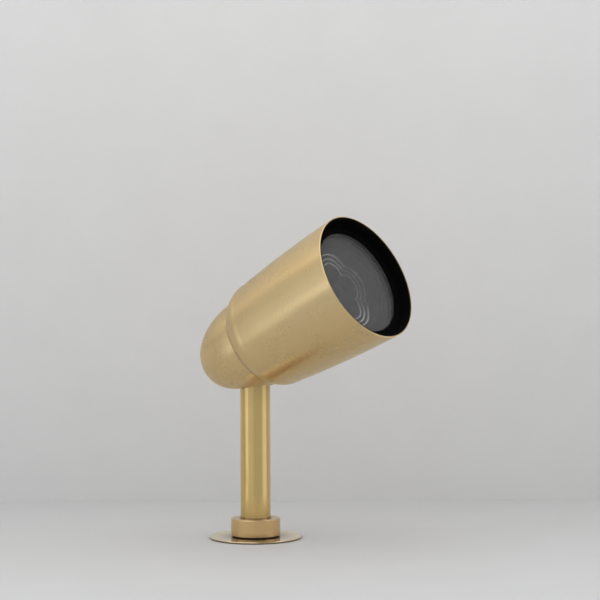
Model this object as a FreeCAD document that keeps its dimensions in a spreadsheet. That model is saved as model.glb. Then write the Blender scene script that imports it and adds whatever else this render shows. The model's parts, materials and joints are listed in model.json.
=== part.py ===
import FreeCAD, Part
import math
import os
import re
import Sketcher

# Underwater pond light: a lamp head on a short stem, standing on a foot disc.
#
# Frame: +Z up along the stem, origin at the centre of the foot disc's underside, and +X the way
# the head points. Millimetres.
# The foot and the stem are modelled where they stand. Every piece of the head is modelled upright
# about its own pivot, with local +Z forward along the head's axis and local +X towards its
# underside, and is then tipped into place by its Placement.

DIMENSIONS = {
    # Foot: disc, gasket and collar, with a threaded hole for a fixing stud
    "disc_radius": 23.1,
    "disc_thickness": 1.0,
    "gasket_radius": 11.5,
    "gasket_thickness": 0.5,
    "collar_radius": 12.3,
    "collar_height": 8.5,
    "edge_break": 0.2,
    "disc_undercut": 0.35,
    "spigot_radius": 8.0,
    "floor_height": 4.5,
    "stud_thread_radius": 4.46,
    "collar_lip_gap": 0.25,
    "collar_lip_height": 0.8,
    "seal_groove_radius": 8.55,
    "seal_groove_width": 1.15,
    "seal_section_radius": 0.5,
    "collar_screw_radius": 1.5,
    "collar_screw_length": 4.9,
    "collar_screw_height": 6.2,
    "collar_screw_sink": 0.25,
    "dog_point_radius": 0.75,
    "dog_point_length": 0.6,
    "hex_socket_radius": 0.85,
    "hex_socket_depth": 1.8,
    # Stem: tube, cable and the forked knuckle on top
    "stem_radius": 7.5,
    "stem_bore_radius": 6.0,
    "stem_top_height": 85.5,
    "swivel_groove_depth": 0.5,
    "swivel_groove_width": 1.8,
    "cable_radius": 2.5,
    "cable_way_radius": 3.2,
    "grommet_length": 4.0,
    "cable_start_height": 5.0,
    "grommet_set_back": 0.2,
    "cable_end_gap": 0.2,
    "knuckle_half_width": 7.4,
    "knuckle_plug_length": 12.0,
    "knuckle_pin_radius": 1.0,
    "knuckle_pin_height": 79.5,
    "knuckle_pin_sink": 0.2,
    "fork_gap": 3.2,
    # Pivot: two shoulder screws, one in each cheek of the fork
    "pivot_height": 97.4,
    "rest_tilt": 25.0,
    "pivot_radius": 2.5,
    "pivot_head_radius": 4.2,
    "pivot_head_thickness": 2.2,
    "pivot_head_floor": 0.8,
    "pivot_end_play": 0.2,
    "pivot_socket_radius": 1.5,
    "washer_radius": 6.4,
    "washer_thickness": 0.5,
    "ear_clearance": 0.1,
    # Hood, from its rim back to the seam
    "rim_reach": 76.8,
    "rim_radius": 31.7,
    "rim_bore_radius": 31.25,
    "flank_arc_radius": 715.0,
    "flank_end_reach": 14.0,
    "flank_end_radius": 27.6,
    "shoulder_arc_radius": 12.6,
    "seam_reach": 4.0,
    "seam_radius": 23.2,
    "front_bore_radius": 30.2,
    "front_bore_depth": 13.0,
    "bore_taper_overlap": 0.4,
    "ledge_width": 1.0,
    "hood_wall": 1.6,
    "hood_rear_taper": 1.6,
    "hood_rear_land": 1.0,
    "hood_thread_radius": 21.35,
    "hood_thread_length": 5.0,
    # Rear cover: half an ellipsoid with a slot for the stem
    "seam_gap": 0.1,
    "cover_length": 36.6,
    "cover_wall": 1.5,
    "cover_thread_length": 4.7,
    "cover_thread_wall": 1.5,
    "cover_ring_depth": 2.0,
    "slot_half_width": 8.0,
    "slot_front_reach": 1.0,
    # Lamp window: baffle, lens and gasket
    "lens_depth": 6.3,
    "lens_radius": 27.0,
    "lens_thickness": 4.0,
    "lens_bevel": 0.4,
    "lens_seat_clearance": 0.2,
    "window_radius": 25.7,
    "baffle_set_back": 0.3,
    "baffle_wall": 0.8,
    "baffle_flange": 1.0,
    "baffle_lip_bevel": 0.5,
    "lens_gasket_thickness": 1.0,
    # Lamp capsule, the dry housing inside the hood
    "capsule_flange_radius": 30.0,
    "capsule_radius": 27.2,
    "capsule_wall": 1.5,
    "capsule_straight_reach": 40.0,
    "capsule_back_reach": 11.0,
    "capsule_back_radius": 23.4,
    "capsule_back_wall": 2.5,
    "capsule_flange_gap": 0.9,
    "capsule_seal_foot": 2.6,
    "capsule_seal_width": 1.4,
    "capsule_seal_depth": 1.3,
    "capsule_seal_radius": 0.6,
    # Lamp: a 50 mm lamp on two pins, with five overlapping cups in its plate
    "lamp_radius": 25.0,
    "lamp_front_reach": 64.3,
    "lamp_rim_height": 3.2,
    "lamp_glass_radius": 22.4,
    "lamp_mouth_radius": 20.6,
    "lamp_neck_radius": 9.0,
    "lamp_neck_reach": 38.0,
    "lamp_base_reach": 26.0,
    "lamp_bowl_arc": 34.0,
    "lamp_glass_thickness": 1.2,
    "cup_plate_reach": 57.5,
    "cup_centre_radius": 9.0,
    "cup_radius": 10.7,
    "cup_step_width": 2.1,
    "cup_step_depth": 0.7,
    "cup_floor_reach": 50.0,
    "cup_floor_radius": 3.0,
    "emitter_radius": 1.8,
    "emitter_height": 0.6,
    "emitter_dome_radius": 1.5,
    "pin_radius": 0.75,
    "pin_length": 7.0,
    "pin_root": 1.0,
    "pin_spacing": 5.33,
    # Lamp holder, screwed to the capsule's back wall on two spacers
    "holder_length": 27.0,
    "holder_width": 12.0,
    "holder_end_radius": 6.2,
    "holder_height": 8.0,
    "holder_gap": 0.5,
    "holder_screw_spacing": 20.0,
    "holder_screw_radius": 1.5,
    "holder_head_radius": 2.7,
    "holder_head_thickness": 1.8,
    "driver_slot": 0.8,
    "screw_hole_clearance": 0.1,
    "head_hole_clearance": 0.2,
    "holder_screw_reach": 2.1,
    "screw_bottom_gap": 0.2,
    "spacer_radius": 2.9,
    "wire_radius": 0.7,
    "wire_spacing": 2.6,
    "wire_length": 1.3,
    # Cable gland through the back wall
    "gland_thread_radius": 5.0,
    "gland_flange_radius": 6.6,
    "gland_flange_thickness": 1.7,
    "gland_length": 5.0,
    "gland_bore_radius": 3.6,
    "gland_nut_thickness": 2.4,
    "gland_nut_flats": 12.0,
    # Yoke bracket: base plate on the back wall and two ears that carry the head
    "yoke_plate_thickness": 1.6,
    "yoke_plate_width": 24.0,
    "yoke_ear_thickness": 2.3,
    "yoke_ear_radius": 5.5,
    "yoke_hole_radius": 7.0,
    "yoke_screw_x": 9.2,
    "yoke_screw_y": 6.6,
    "yoke_screw_radius": 1.25,
    "yoke_screw_depth": 2.2,
    "yoke_head_radius": 2.2,
    "yoke_head_thickness": 1.4,
    "yoke_socket_flats": 1.6,
    "yoke_socket_depth": 0.8,
    # Clearances
    "slip": 0.05,
    "pivot_slip": 0.06,
}

document = FreeCAD.newDocument("pond_light")
sheet = document.addObject("Spreadsheet::Sheet", "sizes")
for row, (alias, size) in enumerate(DIMENSIONS.items(), start=1):
    sheet.set(f"A{row}", str(size))
    sheet.setAlias(f"A{row}", alias)
document.recompute()

ALIASES = re.compile(r"\b(" + "|".join(DIMENSIONS) + r")\b")
FULL_TURN = 360.0
CUP_COUNT = 5
UP = FreeCAD.Vector(0, 0, 1)
AXES = {"x": FreeCAD.Vector(1, 0, 0), "y": FreeCAD.Vector(0, 1, 0), "z": UP}
sub_parts = []


# ---- Formulas ---------------------------------------------------------------------------------

def cells(formula):
    """The formula with each dimension's name pointing at its cell of the sheet."""
    return ALIASES.sub(r"sizes.\1", formula)


def number(formula):
    """What a formula comes to with the sheet's present numbers."""
    return float(sheet.evalExpression(cells(formula)))


def bind(target, path, formula):
    target.setExpression(path, cells(formula))


# ---- Sketches and bodies ------------------------------------------------------------------------

def new_sketch(body, role, offset=None):
    """A sketch on one of the body's own origin planes, moved out along its normal by offset."""
    sketch = body.newObject("Sketcher::SketchObject", body.Name + "_sketch")
    plane = [feature for feature in body.Origin.OriginFeatures if feature.Role == role][0]
    sketch.AttachmentSupport = [(plane, "")]
    sketch.MapMode = "FlatFace"
    if offset:
        bind(sketch, "AttachmentOffset.Base.z", offset)
    return sketch


def hold(sketch, kind, index, point, formula):
    """Fixes one coordinate of a sketch point, measured from the sketch's origin."""
    place = sketch.addConstraint(Sketcher.Constraint(kind, -1, 1, index, point, number(formula)))
    bind(sketch, f"Constraints[{place}]", formula)


def arc_between(start, end, radius, side):
    """The shorter arc from start to end; side is +1 where it bulges to the right of the way."""
    middle = (start + end) * 0.5
    along = end - start
    half = along.Length / 2
    right = FreeCAD.Vector(along.y, -along.x, 0).normalize()
    centre = middle - right * side * math.sqrt(radius ** 2 - half ** 2)
    first, last = (start, end) if side > 0 else (end, start)
    angles = [math.atan2(p.y - centre.y, p.x - centre.x) for p in (first, last)]
    if angles[1] < angles[0]:
        angles[1] += math.radians(FULL_TURN)
    return Part.ArcOfCircle(Part.Circle(centre, UP, radius), *angles)


def outline(sketch, corners, arcs=None):
    """A closed outline of corners given as formulas. arcs maps the number of an edge to the
    formula of its radius and the side to which it bulges."""
    arcs = arcs or {}
    points = [FreeCAD.Vector(number(x), number(y), 0) for x, y in corners]
    ends = []
    for index, start in enumerate(points):
        end = points[(index + 1) % len(points)]
        if index in arcs:
            radius, side = arcs[index]
            edge = sketch.addGeometry(arc_between(start, end, number(radius), side))
            place = sketch.addConstraint(Sketcher.Constraint("Radius", edge, number(radius)))
            bind(sketch, f"Constraints[{place}]", radius)
            ends.append((edge, 1, 2) if side > 0 else (edge, 2, 1))
        else:
            edge = sketch.addGeometry(Part.LineSegment(start, end))
            ends.append((edge, 1, 2))
    for index, (edge, first, last) in enumerate(ends):
        follower, joined, _ = ends[(index + 1) % len(ends)]
        sketch.addConstraint(Sketcher.Constraint("Coincident", edge, last, follower, joined))
        hold(sketch, "DistanceX", edge, first, corners[index][0])
        hold(sketch, "DistanceY", edge, first, corners[index][1])


def disc(sketch, x, y, radius):
    """A circle, its centre and radius given as formulas."""
    centre = FreeCAD.Vector(number(x), number(y), 0)
    edge = sketch.addGeometry(Part.Circle(centre, UP, number(radius)))
    place = sketch.addConstraint(Sketcher.Constraint("Radius", edge, number(radius)))
    bind(sketch, f"Constraints[{place}]", radius)
    hold(sketch, "DistanceX", edge, 3, x)
    hold(sketch, "DistanceY", edge, 3, y)


def revolve(body, sketch):
    """Turns a sketch of the XZ plane about Z."""
    revolution = body.newObject("PartDesign::Revolution", body.Name + "_turning")
    revolution.Profile = sketch
    revolution.ReferenceAxis = (sketch, ["V_Axis"])
    revolution.Angle = FULL_TURN
    return body


def turned(name, corners, arcs=None):
    """A body of revolution about Z: corners are (radius, height) formulas."""
    body = document.addObject("PartDesign::Body", name)
    sketch = new_sketch(body, "XZ_Plane")
    outline(sketch, corners, arcs)
    return revolve(body, sketch)


def o_ring(name, ring_radius, section_radius, height):
    """A ring of round section about Z."""
    body = document.addObject("PartDesign::Body", name)
    sketch = new_sketch(body, "XZ_Plane")
    disc(sketch, ring_radius, height, section_radius)
    return revolve(body, sketch)


def padded(name, corners, arcs, length, base):
    """A body padded upwards from the level called base: corners are (x, y) formulas."""
    body = document.addObject("PartDesign::Body", name)
    sketch = new_sketch(body, "XY_Plane", base)
    outline(sketch, corners, arcs)
    pad = body.newObject("PartDesign::Pad", name + "_pad")
    pad.Profile = sketch
    bind(pad, "Length", length)
    return body


def tube(name, outer, inner, bottom, top):
    """A plain turned ring or tube."""
    return turned(name, [(inner, bottom), (outer, bottom), (outer, top), (inner, top)])


def rod(name, radius, bottom, top):
    return turned(name, [("0", bottom), (radius, bottom), (radius, top), ("0", top)])


# ---- Primitives and booleans --------------------------------------------------------------------

def stand(solid, at, axis="z"):
    """Puts a primitive's foot at a point given as formulas, with its length along an axis."""
    for letter, formula in zip("xyz", at):
        bind(solid, "Placement.Base." + letter, formula)
    solid.Placement.Rotation = FreeCAD.Rotation(UP, AXES[axis])
    return solid


def cylinder(radius, length, at, axis="z"):
    solid = document.addObject("Part::Cylinder", "round")
    bind(solid, "Radius", radius)
    bind(solid, "Height", length)
    return stand(solid, at, axis)


def box(size_x, size_y, size_z, at):
    solid = document.addObject("Part::Box", "block")
    for path, formula in zip(("Length", "Width", "Height"), (size_x, size_y, size_z)):
        bind(solid, path, formula)
    return stand(solid, at)


def ball(radius, at):
    solid = document.addObject("Part::Sphere", "ball")
    bind(solid, "Radius", radius)
    return stand(solid, at)


def ellipsoid(half_length, half_width, at, front_angle):
    """An ellipsoid of revolution about Z, from its rear pole up to a latitude in degrees."""
    solid = document.addObject("Part::Ellipsoid", "ellipsoid")
    bind(solid, "Radius1", half_length)
    bind(solid, "Radius2", half_width)
    bind(solid, "Radius3", half_width)
    solid.Angle1 = -90
    solid.Angle2 = front_angle
    return stand(solid, at)


def hex_prism(across_flats, length, at, axis="z"):
    solid = document.addObject("Part::Prism", "hexagon")
    solid.Polygon = 6
    bind(solid, "Circumradius", f"({across_flats}) / sqrt(3)")
    bind(solid, "Height", length)
    return stand(solid, at, axis)


def fuse(name, *shapes):
    solid = document.addObject("Part::MultiFuse", name)
    solid.Shapes = list(shapes)
    return solid


def cut(name, base, *tools):
    solid = document.addObject("Part::Cut", name)
    solid.Base = base
    solid.Tool = tools[0] if len(tools) == 1 else fuse(name + "_tools", *tools)
    return solid


def group(name, *shapes):
    """Identical fasteners kept together as separate solids of one node."""
    solid = document.addObject("Part::Compound", name)
    solid.Links = list(shapes)
    return solid


# ---- Where the pieces go ------------------------------------------------------------------------

def keep(label, piece):
    """A piece of the foot or of the stem, which is modelled where it stands."""
    piece.Label = label
    sub_parts.append(piece)


def keep_in_head(label, piece):
    """A piece of the head: its local origin goes to the pivot and it is tipped to the rest tilt."""
    bind(piece, "Placement.Base.z", "pivot_height")
    tip = FreeCAD.Rotation(AXES["y"], number("90 - rest_tilt"))
    piece.Placement = FreeCAD.Placement(FreeCAD.Vector(0, 0, number("pivot_height")), tip)
    keep(label, piece)


# ---- Foot ---------------------------------------------------------------------------------------

COLLAR_BASE = "(disc_thickness + gasket_thickness)"
COLLAR_TOP = "(disc_thickness + gasket_thickness + collar_height)"


def base_disc():
    """Thin round disc. Its lower edge is cut back, so that it stands on a clean line."""
    piece = turned("foot_disc", [
        ("spigot_radius + slip", "0"),
        ("disc_radius - disc_undercut", "0"),
        ("disc_radius", "disc_undercut"),
        ("disc_radius", "disc_thickness - edge_break"),
        ("disc_radius - edge_break", "disc_thickness"),
        ("spigot_radius + slip", "disc_thickness"),
    ])
    keep("base_disc", piece)


def foot_gasket():
    piece = tube("gasket", "gasket_radius", "spigot_radius + slip", "disc_thickness", COLLAR_BASE)
    keep("foot_gasket", piece)


SEAL_HIGH = f"({COLLAR_TOP} - collar_lip_height)"
SEAL_LOW = f"({COLLAR_TOP} - collar_lip_height - seal_groove_width)"


def foot_collar():
    """Collar with a spigot through the gasket and the disc. The stem turns in its bore, past a
    lip and a seal groove; the threaded hole below takes the fixing stud."""
    lip = "(stem_radius + collar_lip_gap)"
    body = turned("collar", [
        ("stud_thread_radius", "0"),
        ("spigot_radius", "0"),
        ("spigot_radius", COLLAR_BASE),
        ("collar_radius - edge_break", COLLAR_BASE),
        ("collar_radius", f"{COLLAR_BASE} + edge_break"),
        ("collar_radius", f"{COLLAR_TOP} - edge_break"),
        ("collar_radius - edge_break", COLLAR_TOP),
        (f"{lip} + edge_break", COLLAR_TOP),
        (lip, f"{COLLAR_TOP} - edge_break"),
        (lip, SEAL_HIGH),
        ("seal_groove_radius", SEAL_HIGH),
        ("seal_groove_radius", SEAL_LOW),
        ("stem_radius + slip", SEAL_LOW),
        ("stem_radius + slip", "floor_height"),
        ("stud_thread_radius", "floor_height"),
    ])
    screw_at = ("-collar_radius", "0", "collar_screw_height")
    hole = cylinder("collar_screw_radius", "collar_radius", screw_at, "x")
    keep("foot_collar", cut("bored_collar", body, hole))


def collar_grub_screw():
    """Socket screw whose dog point runs in the stem's groove and locks the swivel."""
    at = ("collar_screw_sink - collar_radius", "0", "collar_screw_height")
    thread = cylinder("collar_screw_radius", "collar_screw_length - dog_point_length", at, "x")
    point = cylinder("dog_point_radius", "collar_screw_length", at, "x")
    socket = hex_prism("2 * hex_socket_radius", "hex_socket_depth", at, "x")
    keep("collar_grub_screw", cut("grub_screw", fuse("grub_blank", thread, point), socket))


def collar_o_ring():
    """Seal in the collar's groove, between the stem and the groove's wall."""
    ring_radius = "stem_radius + seal_section_radius + slip / 2"
    height = f"({SEAL_LOW} + {SEAL_HIGH}) / 2"
    keep("collar_o_ring", o_ring("stem_seal", ring_radius, "seal_section_radius", height))


# ---- Stem ---------------------------------------------------------------------------------------

STEM_FOOT = "(floor_height + slip)"


def stem_tube():
    """Tube with a turned groove for the collar's screw."""
    low = "(collar_screw_height - swivel_groove_width / 2)"
    high = "(collar_screw_height + swivel_groove_width / 2)"
    groove = "stem_radius - swivel_groove_depth"
    body = turned("tube", [
        ("stem_bore_radius", STEM_FOOT),
        ("stem_radius", STEM_FOOT),
        ("stem_radius", low),
        (groove, low),
        (groove, high),
        ("stem_radius", high),
        ("stem_radius", "stem_top_height"),
        ("stem_bore_radius", "stem_top_height"),
    ])
    pin_at = ("-stem_radius", "0", "knuckle_pin_height")
    pin_hole = cylinder("knuckle_pin_radius", "2 * stem_radius", pin_at, "x")
    keep("stem_tube", cut("drilled_tube", body, pin_hole))


def stem_knuckle():
    """Fork on a plug that sits in the tube. The cable comes up between the two cheeks."""
    width = "2 * knuckle_half_width"
    block_height = "pivot_height - stem_top_height"
    block_at = ("-stem_radius", "-knuckle_half_width", "stem_top_height")
    block = box("2 * stem_radius", width, block_height, block_at)
    eye = cylinder("stem_radius", width, ("0", "-knuckle_half_width", "pivot_height"), "y")
    plug_foot = "stem_top_height - knuckle_plug_length"
    plug = cylinder("stem_bore_radius - slip", "knuckle_plug_length", ("0", "0", plug_foot))
    way = cylinder("cable_way_radius", "pivot_height - (stem_top_height - knuckle_plug_length)",
                   ("0", "0", plug_foot))
    gap_at = ("-fork_gap", "-fork_gap", "pivot_height - fork_gap")
    gap = box("4 * stem_radius", "2 * fork_gap", "4 * stem_radius", gap_at)
    pivots = cylinder("pivot_radius", "4 * stem_radius", ("0", "-2 * stem_radius", "pivot_height"), "y")
    pin_at = ("-stem_radius", "0", "knuckle_pin_height")
    pin_hole = cylinder("knuckle_pin_radius", "2 * stem_radius", pin_at, "x")
    blank = fuse("knuckle_blank", block, eye, plug)
    keep("stem_knuckle", cut("knuckle", blank, way, gap, pivots, pin_hole))


def knuckle_pins():
    """Two short spring pins that lock the knuckle's plug in the tube, one on each side."""
    length = "stem_radius - cable_way_radius - 2 * knuckle_pin_sink"
    pins = []
    for start in ("knuckle_pin_sink - stem_radius", "cable_way_radius + knuckle_pin_sink"):
        at = (start, "0", "knuckle_pin_height")
        pins.append(cylinder("knuckle_pin_radius", length, at, "x"))
    keep("knuckle_pins", group("pins", *pins))


def stem_grommet():
    foot = "(cable_start_height + grommet_set_back)"
    top = f"{foot} + grommet_length"
    piece = tube("grommet", "stem_bore_radius - slip", "cable_radius + slip", foot, top)
    keep("stem_grommet", piece)


def stem_cable():
    """Cable in the stem. It ends just under the pivot, where the head's cable takes over."""
    top = "pivot_height - cable_radius - cable_end_gap"
    keep("stem_cable", rod("lower_cable", "cable_radius", "cable_start_height", top))


def pivot_screws():
    """Shoulder screws, threaded into the fork's cheeks; the head's ears turn on them."""
    ear_face = "(knuckle_half_width + washer_thickness + yoke_ear_thickness + pivot_end_play)"
    inner = "(fork_gap + pivot_end_play)"
    shank = f"{ear_face} - {inner}"
    head_end = f"(-{ear_face} - pivot_head_thickness)"
    socket_depth = "pivot_head_thickness - pivot_head_floor"
    starts = {
        "left": (inner, ear_face, f"{ear_face} + pivot_head_floor"),
        "right": (f"-{ear_face}", head_end, head_end),
    }
    screws = []
    for side, places in starts.items():
        shank_at, head_at, socket_at = [("0", place, "pivot_height") for place in places]
        body = fuse(side + "_screw_blank",
                    cylinder("pivot_radius", shank, shank_at, "y"),
                    cylinder("pivot_head_radius", "pivot_head_thickness", head_at, "y"))
        key = hex_prism("2 * pivot_socket_radius", socket_depth, socket_at, "y")
        screws.append(cut(side + "_pivot_screw", body, key))
    keep("pivot_screws", group("pivots", *screws))


def friction_washers():
    """Washers between the fork's cheeks and the ears; they hold the head where it is aimed."""
    washers = []
    starts = {"left": "knuckle_half_width", "right": "-knuckle_half_width - washer_thickness"}
    for side, start in starts.items():
        at = ("0", start, "pivot_height")
        washers.append(cut(side + "_washer",
                           cylinder("washer_radius", "washer_thickness", at, "y"),
                           cylinder("pivot_radius + slip", "washer_thickness", at, "y")))
    keep("friction_washers", group("washers", *washers))


# ---- Head: shells -------------------------------------------------------------------------------

FRONT_BORE_END = "(rim_reach - front_bore_depth)"
LENS_FRONT = "(rim_reach - lens_depth)"
LENS_BACK = "(rim_reach - lens_depth - lens_thickness)"
GASKET_BACK = "(rim_reach - lens_depth - lens_thickness - lens_gasket_thickness)"
BACK_WALL_FRONT = "(capsule_back_reach + capsule_back_wall)"


def front_hood():
    """Tapered hood: a long, slightly bowed flank, a round shoulder at the rear and, inside, a
    ledge for the capsule and a threaded bore for the rear cover."""
    thread_end = "(seam_reach + hood_thread_length)"
    inner_flank = "(flank_end_radius - hood_wall)"
    body = turned("hood", [
        ("hood_thread_radius", "seam_reach"),
        ("seam_radius", "seam_reach"),
        ("flank_end_radius", "flank_end_reach"),
        ("rim_radius", "rim_reach - edge_break"),
        ("rim_radius - edge_break", "rim_reach"),
        ("rim_bore_radius", "rim_reach"),
        ("front_bore_radius", f"{LENS_FRONT} - bore_taper_overlap"),
        ("front_bore_radius", FRONT_BORE_END),
        ("front_bore_radius - ledge_width", FRONT_BORE_END),
        (inner_flank, "flank_end_reach"),
        (f"{inner_flank} - hood_rear_taper", f"{thread_end} + hood_rear_land"),
        ("hood_thread_radius", thread_end),
    ], arcs={1: ("shoulder_arc_radius", 1), 2: ("flank_arc_radius", 1)})
    keep_in_head("front_hood", body)


def rear_cover():
    """Half-ellipsoid cover with a threaded spigot, slotted so that it can swing past the stem
    from the underside of the head to just beyond its rear pole. A narrow groove is left between
    the cover and the hood."""
    centre = ("0", "0", "seam_reach - seam_gap")
    shell = cut("cover_shell",
                ellipsoid("cover_length", "seam_radius", centre, 0),
                ellipsoid("cover_length - cover_wall", "seam_radius - cover_wall", centre, 90))
    thread_radius = "hood_thread_radius - slip"
    spigot = turned("cover_spigot", [
        (f"{thread_radius} - cover_thread_wall", "cover_ring_depth"),
        ("seam_radius - cover_wall / 2", "cover_ring_depth"),
        ("seam_radius - cover_wall / 2", "seam_reach"),
        (thread_radius, "seam_reach"),
        (thread_radius, "seam_reach + cover_thread_length"),
        (f"{thread_radius} - cover_thread_wall", "seam_reach + cover_thread_length"),
    ])
    reach = "2 * cover_length"
    slot_centre = "slot_front_reach - slot_half_width"
    front_end = cylinder("slot_half_width", reach, ("0", "0", slot_centre), "x")
    rear_end = cylinder("slot_half_width", reach, ("0", "0", f"{slot_centre} - {reach}"))
    middle = box(reach, "2 * slot_half_width", reach,
                 ("0", "-slot_half_width", f"{slot_centre} - {reach}"))
    cover = fuse("cover_blank", shell, spigot)
    keep_in_head("rear_cover", cut("slotted_cover", cover, front_end, rear_end, middle))


def glare_baffle():
    """Black ring that screws into the rim, clamps the lens and shades it."""
    wall_top = "rim_reach - baffle_set_back"
    outer_top = "(rim_bore_radius - 2 * slip)"
    outer_foot = "front_bore_radius - slip"
    flange_top = f"{LENS_FRONT} + baffle_flange"
    body = turned("baffle", [
        ("window_radius", LENS_FRONT),
        (outer_foot, LENS_FRONT),
        (outer_top, wall_top),
        (f"{outer_top} - baffle_wall", wall_top),
        (f"{outer_foot} - baffle_wall", flange_top),
        ("window_radius + baffle_lip_bevel", flange_top),
    ])
    keep_in_head("glare_baffle", body)


# ---- Head: window and lamp ----------------------------------------------------------------------

def lens():
    """Toughened glass with a small chamfer round both edges."""
    body = turned("window_glass", [
        ("0", LENS_BACK),
        ("lens_radius - lens_bevel", LENS_BACK),
        ("lens_radius", f"{LENS_BACK} + lens_bevel"),
        ("lens_radius", f"{LENS_FRONT} - lens_bevel"),
        ("lens_radius - lens_bevel", LENS_FRONT),
        ("0", LENS_FRONT),
    ])
    keep_in_head("lens", body)


def lens_gasket():
    """Seal between the lens and the capsule's seat."""
    inner = "capsule_radius - capsule_wall"
    piece = tube("window_gasket", "lens_radius", inner, GASKET_BACK, LENS_BACK)
    keep_in_head("lens_gasket", piece)


def lamp_capsule():
    """Dry cup for the lamp: a flange with the lens seat and a seal groove, a straight stretch, a
    cone and a back wall bored for the gland, the yoke screws and the lamp holder's screws."""
    seal_low = f"{FRONT_BORE_END} + capsule_seal_foot"
    seal_high = f"{seal_low} + capsule_seal_width"
    flange_top = f"{LENS_FRONT} - capsule_flange_gap"
    lens_seat = "lens_radius + lens_seat_clearance"
    inner = "capsule_radius - capsule_wall"
    seal_floor = "capsule_flange_radius - capsule_seal_depth"
    body = turned("capsule", [
        ("gland_thread_radius + slip", "capsule_back_reach"),
        ("capsule_back_radius", "capsule_back_reach"),
        ("capsule_radius", "capsule_straight_reach"),
        ("capsule_radius", FRONT_BORE_END),
        ("capsule_flange_radius", FRONT_BORE_END),
        ("capsule_flange_radius", seal_low),
        (seal_floor, seal_low),
        (seal_floor, seal_high),
        ("capsule_flange_radius", seal_high),
        ("capsule_flange_radius", flange_top),
        (lens_seat, flange_top),
        (lens_seat, GASKET_BACK),
        (inner, GASKET_BACK),
        (inner, "capsule_straight_reach"),
        ("capsule_back_radius - capsule_wall", "capsule_back_reach + capsule_back_wall"),
        ("gland_thread_radius + slip", "capsule_back_reach + capsule_back_wall"),
    ])
    holes = []
    for x in ("-yoke_screw_x", "yoke_screw_x"):
        for y in ("-yoke_screw_y", "yoke_screw_y"):
            at = (x, y, "capsule_back_reach")
            holes.append(cylinder("yoke_screw_radius", "yoke_screw_depth", at))
    for y in ("-holder_screw_spacing / 2", "holder_screw_spacing / 2"):
        at = ("0", y, f"{BACK_WALL_FRONT} - holder_screw_reach")
        holes.append(cylinder("holder_screw_radius", "holder_screw_reach", at))
    keep_in_head("lamp_capsule", cut("drilled_capsule", body, *holes))


def capsule_o_ring():
    ring_radius = "front_bore_radius - capsule_seal_radius - slip"
    height = f"{FRONT_BORE_END} + capsule_seal_foot + capsule_seal_width / 2"
    keep_in_head("capsule_o_ring", o_ring("capsule_seal", ring_radius, "capsule_seal_radius", height))


def cup_centres():
    """Formulas of x and y for the middle of each cup, with one cup at the top of the lamp."""
    step = FULL_TURN / CUP_COUNT
    places = []
    for index in range(CUP_COUNT):
        angle = f"({step / 2 + index * step} deg)"
        places.append((f"cup_centre_radius * cos{angle}", f"cup_centre_radius * sin{angle}"))
    return places


def cup_hollow(index, x, y):
    """The room inside one cup: a cone from its floor and two ring-shaped steps above it."""
    top_step = "(cup_plate_reach - cup_step_depth)"
    low_step = "(cup_plate_reach - 2 * cup_step_depth)"
    body = turned(f"cup_hollow_{index}", [
        ("0", "cup_floor_reach"),
        ("cup_floor_radius", "cup_floor_reach"),
        ("cup_radius - 2 * cup_step_width", low_step),
        ("cup_radius - cup_step_width", low_step),
        ("cup_radius - cup_step_width", top_step),
        ("cup_radius", top_step),
        ("cup_radius", "cup_plate_reach + cup_step_depth"),
        ("0", "cup_plate_reach + cup_step_depth"),
    ])
    bind(body, "Placement.Base.x", x)
    bind(body, "Placement.Base.y", y)
    return body


def lamp_reflector():
    """The 50 mm lamp's shell: neck, bowl and rim round a plate with five stepped cups."""
    rim_foot = "(lamp_front_reach - lamp_rim_height)"
    glass_seat = "(lamp_glass_radius + slip)"
    glass_foot = "lamp_front_reach - lamp_glass_thickness"
    body = turned("reflector", [
        ("0", "lamp_base_reach"),
        ("lamp_neck_radius", "lamp_base_reach"),
        ("lamp_neck_radius", "lamp_neck_reach"),
        ("lamp_radius", rim_foot),
        ("lamp_radius", "lamp_front_reach"),
        (glass_seat, "lamp_front_reach"),
        (glass_seat, glass_foot),
        ("lamp_mouth_radius", glass_foot),
        ("lamp_mouth_radius", "cup_plate_reach"),
        ("0", "cup_plate_reach"),
    ], arcs={2: ("lamp_bowl_arc", 1)})
    holes = []
    for index, (x, y) in enumerate(cup_centres()):
        holes.append(cup_hollow(index, x, y))
    for y in ("-pin_spacing / 2", "pin_spacing / 2"):
        holes.append(cylinder("pin_radius", "pin_root", ("0", y, "lamp_base_reach")))
    keep_in_head("lamp_reflector", cut("bored_reflector", body, *holes))


def lamp_front_glass():
    back = "lamp_front_reach - lamp_glass_thickness"
    piece = rod("front_glass", "lamp_glass_radius", back, "lamp_front_reach")
    keep_in_head("lamp_front_glass", piece)


def lamp_emitters():
    """The small round light source with a domed lens on each cup's floor."""
    emitters = []
    for index, (x, y) in enumerate(cup_centres()):
        base = cylinder("emitter_radius", "emitter_height", (x, y, "cup_floor_reach"))
        dome = ball("emitter_dome_radius", (x, y, "cup_floor_reach + emitter_height"))
        floor = cylinder("emitter_radius", "2 * emitter_dome_radius",
                         (x, y, "cup_floor_reach - 2 * emitter_dome_radius"))
        emitters.append(cut(f"emitter_{index}", fuse(f"emitter_blank_{index}", base, dome), floor))
    keep_in_head("lamp_emitters", group("emitters", *emitters))


def lamp_pins():
    """The lamp's two contact pins, down into the holder."""
    pins = []
    for y in ("-pin_spacing / 2", "pin_spacing / 2"):
        foot = "lamp_base_reach - pin_length + pin_root"
        pins.append(cylinder("pin_radius", "pin_length", ("0", y, foot)))
    keep_in_head("lamp_pins", group("contact_pins", *pins))


HOLDER_TOP = "(lamp_base_reach - holder_gap)"
HOLDER_FOOT = "(lamp_base_reach - holder_gap - holder_height)"


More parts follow.
